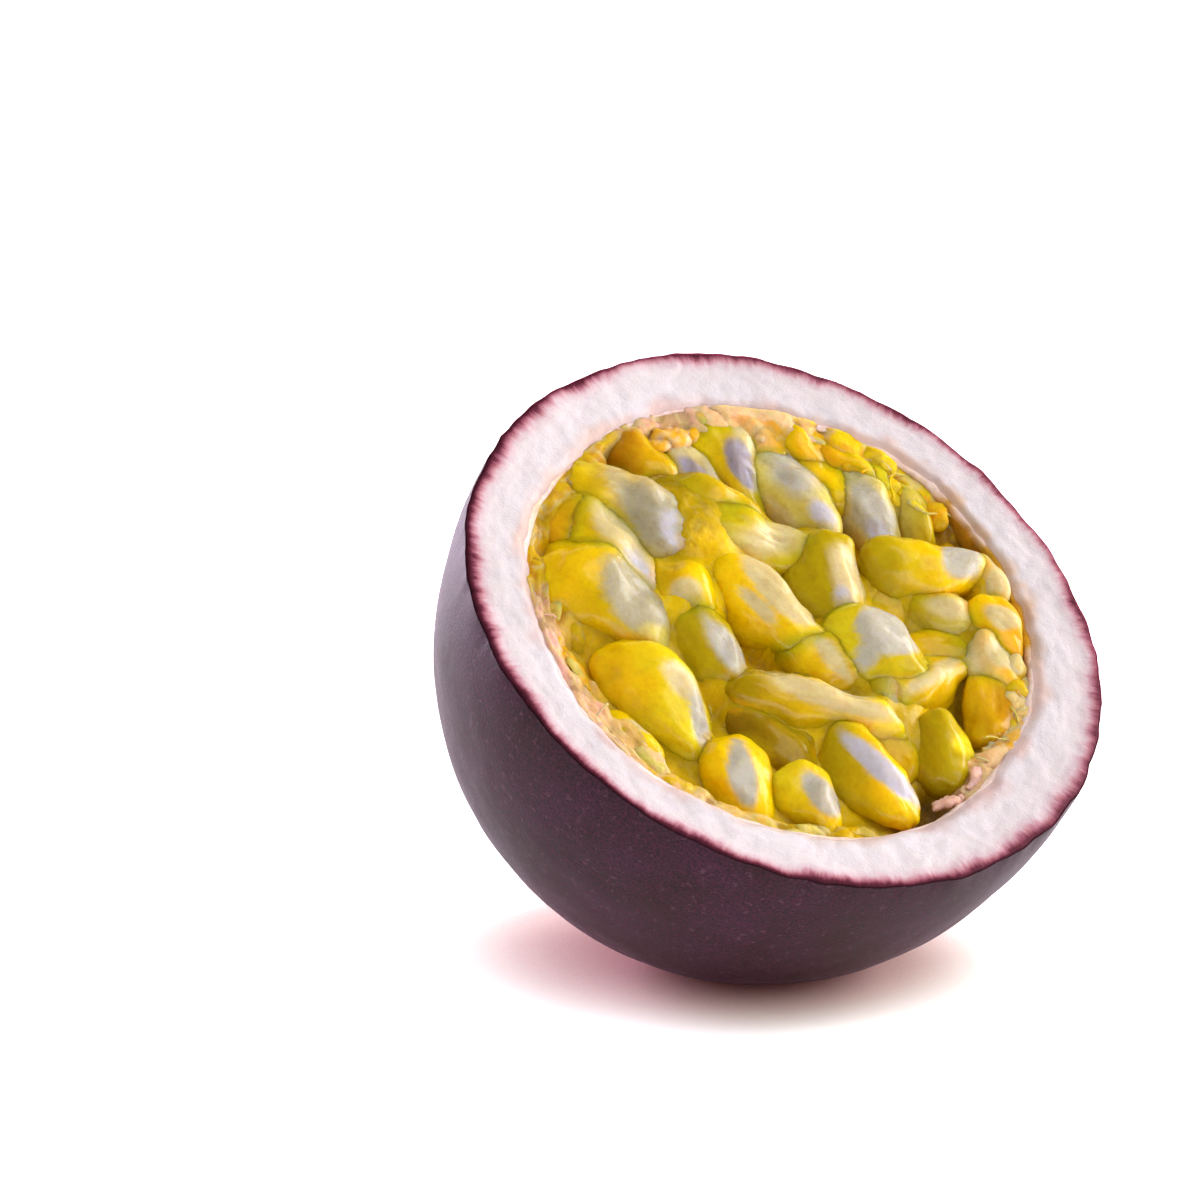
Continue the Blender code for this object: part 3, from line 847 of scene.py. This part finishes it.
def grown_sac(index, frames):
    """Points of one sac, run into its neighbours and the wall, and how near each is to a neighbour."""
    middle, axes, halves = frames[index][:3]
    unit = ball(SAC_SEGMENTS, SAC_RINGS)
    rays = (unit * halves) @ axes.T
    near = [other for other in frames if np.linalg.norm(other[0] - middle) < other[2][0] + halves[0]]
    near = [frames[index]] + [other for other in near if other is not frames[index]]

    def fill(share):
        points = middle + rays * share[:, None]
        pulled = warped(points)
        fields = np.stack([sac_field(pulled, sac) for sac in near])
        past = fields[0] - fields[1:].min(axis=0)
        parting = smooth(-0.4, 0.4, noise(points, CLING_SIZE, 55))
        cling = SAC_CLING[0] + (SAC_CLING[1] - SAC_CLING[0]) * parting
        free = joined(fields, cling) + DIVE * np.maximum(0, past) - 1
        beyond = np.hypot(points[:, 0], points[:, 1]) - wall_radius(angle_of(points), points[:, 2]) + 0.1
        return np.exp(CREASE * np.clip([free, beyond], -4, 4)).sum(axis=0), past

    low = np.full(len(rays), 0.05)
    high = np.full(len(rays), 1.5)
    for _ in range(HALVINGS):
        halfway = (low + high) / 2
        inside = fill(halfway)[0] < 1
        low = np.where(inside, halfway, low)
        high = np.where(inside, high, halfway)
    close = smooth(-0.8, 0.0, fill(low)[1])
    points = middle + rays * low[:, None]
    slack = WRINKLES.get(index, 1.0)
    along = unit * halves * (0.22, 1, 1) + 10 * index
    relief = 0.07 * slack * ridged(along, 0.9, 40) + 0.04 * slack * ridged(along, 0.42, 44)
    outward = rays / np.linalg.norm(rays, axis=1)[:, None]
    return points + outward * (relief * (1 - close) + 0.10 * noise(points, 2.4, 50))[:, None], close


def juice_tint(points):
    """The colour of the juice: olive to yellow in slow patches."""
    return mixed(linear("depth"), linear("yolk"), smooth(-1.0, 1.0, fractal(points, 3.2, 90)))


def sac_tint(index, points, close):
    """Colours of one sac: from its left end to its right one, its pale windows of seed and painted
    reflection, then painted shade in its creases and on its low sides.
    """
    left, right = SACS[index][-2:]
    picture = seen(points)
    across = (picture[:, 0] - picture[:, 0].min()) / np.ptp(picture[:, 0])
    tint = mixed(linear(left), linear(right), smooth(0.15, 0.85, across + 0.12 * noise(points, 1.5, 60)))
    ragged = 0.12 * fractal(points, 1.1, 70)
    tint = mixed(tint, linear("olive"), 0.3 * smooth(0.0, 0.8, fractal(points, 3.2, 66)))
    # The pale windows: pale seed showing through, and painted reflections of the lights
    for sac, x, y, turn, length, width, colour, soft in PALE_SEEDS_AND_PAINTED_REFLECTIONS:
        if sac != index:
            continue
        offset = picture - (x, y)
        along = offset @ (cos(radians(turn)), sin(radians(turn)))
        beside = offset @ (-sin(radians(turn)), cos(radians(turn)))
        reach = np.sqrt((along / length * 2) ** 2 + (beside / width * 2) ** 2) + ragged
        tint = mixed(tint, linear(colour), 1 - smooth(1 - 0.7 * soft, 1 + 0.7 * soft, reach))
    # Painted shade: the sac turns to the depth colour towards its low sides
    low = smooth(-1.9, -3.8, points[:, 2] + 0.3 * noise(points, 2.0, 64))
    # Painted shade in the creases: olive and orange where the sac runs close to a neighbour
    painted_crease_shade = mixed(linear("olive"), linear("orange"), smooth(-0.4, 1.0, fractal(points, 2.2, 96)))
    tint = mixed(tint, painted_crease_shade, 0.7 * smooth(0.4, 1.0, close))
    return mixed(tint, linear("depth"), 0.85 * low)


def make_sacs(frames):
    """The juice sacs that show, each run into its neighbours."""
    shapes = []
    for index in range(len(SACS)):
        points, close = grown_sac(index, frames)
        shapes.append((*as_rings(points, SAC_SEGMENTS), sac_tint(index, points, close)))
    return make_wet_piece("juice_sacs", "sac", shapes)


def juice_height(x, y, frames):
    """The level of the juice: the bed, drawn up round the sacs into their creases."""
    bed = BED_LEVEL - 0.3 - y * np.tan(BED_LEAN)
    level = bed.copy()
    unset = np.ones(x.shape, bool)
    for height in np.arange(1.2, -4.0, -0.16):
        points = warped(np.stack([x, y, np.full(x.shape, height)], axis=-1))
        fields = np.stack([sac_field(points, sac) for sac in frames])
        found = unset & (joined(fields, JUICE_CLING) < JUICE_FIELD)
        level[found] = height
        unset &= ~found
    for _ in range(2):
        level[1:-1] = (level[:-2] + 2 * level[1:-1] + level[2:]) / 4
        level = (np.roll(level, 1, 1) + 2 * level + np.roll(level, -1, 1)) / 4
    return np.maximum(level, bed)


def pit(points):
    """1 in the dark gap in the pulp and 0 away from it."""
    return smooth(PIT_WIDTH[1], PIT_WIDTH[0], np.hypot(points[..., 0] - PIT[0], points[..., 1] - PIT[1]))


def bed_top(angle, frames):
    """Points of the pulp's upper side, how much of each is tissue of the wall's edge, and its lump there."""
    coarse = angle[::BED_COARSE]
    shares = np.linspace(0, 1, BED_ROWS + 1)[1:]
    spread = shares[BED_COARSE - 1::BED_COARSE]
    sparse = np.array([polar(coarse, share * wall(coarse, 0.0)[0], 0.0) for share in spread])
    level = juice_height(sparse[..., 0], sparse[..., 1], frames)
    level = np.array([np.interp(angle, coarse, row, period=2 * pi) for row in level])
    level = np.array([np.interp(shares, spread, column) for column in level.T]).T

    degrees = np.degrees(angle)
    edge_height = np.interp(degrees, [stop[0] for stop in EDGE_STOPS], [stop[1] for stop in EDGE_STOPS])
    reach = wall_radius(angle, edge_height) + 0.05 + 0.25 * smooth(-0.9, -0.3, edge_height)
    top = np.array([polar(angle, share * reach, 0.0) for share in shares])
    inward = (1 - shares[:, None]) * reach
    strips = between(degrees, STRIP)
    width = EDGE_WIDTH + STRIP_WIDER * strips + FAR_WIDER * between(degrees, FAR_SIDE)
    edge = smooth(width, 0.5, inward + 0.8 * fractal(top, 2.4, 86))
    along = polar(angle, CAVITY_RADIUS * 0.25, 0.0) + np.stack([0 * inward, 0 * inward, inward], -1)
    swirl = top[..., :2] + 0.8 * np.stack([fractal(top, 1.6, 180), fractal(top, 1.6, 184)], -1)
    lump, mark = pebbles(swirl, LUMP, 17)
    relief = LUMP_RISE * (lump - 0.5) * (1 - strips) + STRIP_RISE * ridged(along, 0.7, 150) * strips
    rise = level + (np.maximum(edge_height, level) - level) * edge
    fine = 0.07 * fractal(top, 1.9, 80) + 0.05 * noise(top, 0.6, 84)
    top[..., 2] = rise - PIT_DEPTH * pit(top) + relief * edge + fine
    return top, edge, lump, mark


def make_bed(frames):
    """The body of the pulp under the sacs, with juice drawn up between them and tissue round its edge."""
    angle = np.linspace(-pi, pi, AROUND, endpoint=False)
    top, edge, lump, mark = bed_top(angle, frames)
    start = np.arcsin(-(BED_LEVEL - 1.2) / CAVITY_DEPTH)
    falls = np.linspace(start, pi / 2, BODY_ROWS)[:-1]
    body = []
    for fall in falls:
        radius, height = wall(angle, fall)
        body.append(polar(angle, radius * (1 - GAP / CAVITY_RADIUS), height))
    rows = np.concatenate([top, np.array(body)])
    points, faces = closed_rows(rows, (0, 0, top[0, :, 2].mean()), (0, 0, GAP - CAVITY_DEPTH))

    juice = juice_tint(top)
    one = round_colour(angle, [stop[:3] for stop in EDGE_STOPS])
    other = round_colour(angle, EDGE_STOPS)
    tissue = mixed(one, other, smooth(0.3, 0.7, mark + 0.5 * fractal(top, 0.7, 94)))
    # Painted shade: the tissue is darker between its lumps
    tissue = mixed(tissue, tissue * 0.6, smooth(0.35, 0.0, lump))
    threads = smooth(0.62, 0.95, ridged(top, 1.5, 160)) * (0.12 + 0.5 * edge)
    tint = mixed(mixed(juice, tissue, edge), linear("cream"), threads)
    # Painted shade: the gap is painted dark brown
    tint = mixed(tint, linear("hole_shade"), 0.85 * pit(top)).reshape(-1, 3)
    below = np.repeat(linear("dark")[None], len(points) - len(tint), axis=0)
    tint = np.concatenate([tint, below])
    piece = make_piece("pulp_bed", points, faces, [wet_material("bed")], "pulp", tint=tint)
    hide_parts("pulp")
    return piece


def blob(angle, inward, height, length, width, thick, tilt, seed, knobbly):
    """A lump of tissue bent along the wall: its turn about its own length is the tilt, in degrees."""
    unit = ball(BLOB_SEGMENTS, BLOB_RINGS)
    along, across, up = (unit * (length / 2, width / 2, thick / 2)).T
    bend = 0.25 * width * noise(np.stack([along, 0 * along, 0 * along], -1), length / 3, seed + 5)
    across = across + bend
    lean = radians(tilt)
    turns = radians(angle) + along / CAVITY_RADIUS
    raised = height + across * sin(lean) + up * cos(lean)
    radius = wall_radius(turns, raised) - inward - across * cos(lean) + up * sin(lean)
    points = polar(turns, radius, raised)
    middle = points.mean(axis=0)
    size = min(width, thick)
    swell = knobbly * size * fractal(points, max(0.35, size * 0.8), seed)
    outward = points - middle
    points = points + outward / (np.linalg.norm(outward, axis=1)[:, None] + 1e-6) * swell[:, None]
    reach = wall_radius(angle_of(points), points[:, 2]) + 0.05
    points[:, :2] *= np.minimum(1, reach / np.hypot(points[:, 0], points[:, 1]))[:, None]
    return points


def make_tissue():
    """Lumps of pulp and ragged peach tissue along the hollow's wall."""
    draws = np.random.default_rng(11)
    shapes = []
    for first, last, number, inward, height, size, slender, flat, knobbly, colours in TISSUE:
        for k in range(number):
            angle = first + (last - first) * (k + draws.uniform(0.1, 0.9)) / number
            width = draws.uniform(*size)
            points = blob(
                angle, draws.uniform(*inward), draws.uniform(*height), width * draws.uniform(*slender), width,
                width * flat * draws.uniform(0.8, 1.2), draws.uniform(-40, 40), int(draws.integers(1000)),
                knobbly,
            )
            base, other = (linear(colours[k]) for k in draws.permutation(len(colours))[:2])
            tint = mixed(base, other, smooth(-0.4, 0.5, fractal(points, 0.8, 120)))
            shapes.append((*as_rings(points, BLOB_SEGMENTS), tint))
    return make_wet_piece("wall_tissue", "tissue", shapes)


def tube(path, radius):
    """Rings of points round a path, thinner in its middle."""
    path = np.asarray(path)
    ahead = np.gradient(path, axis=0)
    ahead /= np.linalg.norm(ahead, axis=1)[:, None]
    across = np.cross(ahead, (0.3, 0.5, 0.8))
    across /= np.linalg.norm(across, axis=1)[:, None]
    third = np.cross(ahead, across)
    turns = np.linspace(0, 2 * pi, STRAND_SIDES, endpoint=False)
    ring = across[:, None] * np.cos(turns)[:, None] + third[:, None] * np.sin(turns)[:, None]
    share = np.linspace(-1, 1, len(path))
    thick = radius * (0.55 + 0.45 * share**2)
    return path[:, None] + ring * thick[:, None, None]


def make_strands():
    """Fine fibres from the wall towards the sacs, and glassy threads between sacs."""
    draws = np.random.default_rng(23)
    ends = [(np.array(row[:3]), np.array(row[3:6]), row[6]) for row in THREADS]
    for first, last, number, reach, colours in STRANDS:
        for _ in range(number):
            angle = radians(draws.uniform(first, last))
            height = draws.uniform(-1.3, -0.5)
            start = polar(angle, wall_radius(angle, height), height)
            angle += radians(draws.uniform(-9, 9))
            height = draws.uniform(-1.2, 0.1)
            stop = polar(angle, wall_radius(angle, height) - draws.uniform(*reach), height)
            ends.append((start, stop, colours[draws.integers(len(colours))]))
    shapes = []
    share = np.linspace(0, 1, STRAND_STEPS)[:, None]
    number = STRAND_STEPS * STRAND_SIDES + 2
    for index, (start, stop, colour) in enumerate(ends):
        sag = np.array((0, 0, draws.uniform(-STRAND_SAG, STRAND_SAG)))
        path = start + (stop - start) * share + 4 * sag * share * (1 - share)
        seed = 300 + index * number
        path += STRAND_WANDER * np.stack([noise(path, STRAND_TWIST, seed + k) for k in range(3)], -1)
        rings = tube(path, draws.uniform(*STRAND_RADIUS))
        tint = np.repeat(linear(colour)[None], number, axis=0)
        shapes.append((rings, rings[0].mean(axis=0), rings[-1].mean(axis=0), tint))
    return make_wet_piece("strands", "strand", shapes)


def make_floor():
    bpy.ops.mesh.primitive_plane_add(size=FLOOR_SIZE)
    floor = bpy.context.active_object
    floor.name = "floor"
    floor.data.materials.append(floor_material())


def make_light(name, direction, size, power, colour, on_matt, on_glossy):
    """A soft square light at this direction from the fruit."""
    light = bpy.data.lights.new(name, "AREA")
    light.shape = "RECTANGLE"
    light.size, light.size_y = size
    light.energy = power
    light.color = colour
    lamp = bpy.data.objects.new(name, light)
    bpy.context.scene.collection.objects.link(lamp)
    axes = camera_axes(AZIMUTH, 0.0)
    away = sum((axis * share for axis, share in zip(axes, direction)), Vector()).normalized()
    lamp.location = CUT_CENTRE * MM + away * LIGHT_DISTANCE
    lamp.rotation_euler = away.to_track_quat("Z", "Y").to_euler()
    lamp.visible_diffuse = on_matt
    lamp.visible_glossy = on_glossy


def make_lights():
    scene = bpy.context.scene
    scene.view_settings.view_transform = "Standard"
    world = bpy.data.worlds.new("studio")
    world.use_nodes = True
    background = world.node_tree.nodes["Background"]
    background.inputs["Color"].default_value = (1.0, 1.0, 1.0, 1.0)
    background.inputs["Strength"].default_value = STUDIO_LIGHT
    world.cycles_visibility.glossy = False
    scene.world = world
    for name, settings in LIGHTS.items():
        make_light(name, *settings)


def make_camera():
    right, up, back = camera_axes(AZIMUTH, ELEVATION)
    place = CUT_CENTRE + back * DISTANCE
    aim = CUT_CENTRE - right * LOOK_LEFT + up * LOOK_UP
    lens = bpy.data.cameras.new("camera")
    lens.lens = LENS
    lens.sensor_width = SENSOR
    camera = bpy.data.objects.new("camera", lens)
    bpy.context.scene.collection.objects.link(camera)
    camera.location = place * MM
    camera.rotation_euler = (place - aim).to_track_quat("Z", "Y").to_euler()
    bpy.context.scene.camera = camera


make_camera()
make_rind()
sacs = sac_frames()
make_bed(sacs)
make_sacs(sacs)
make_tissue()
make_strands()
make_floor()
make_lights()
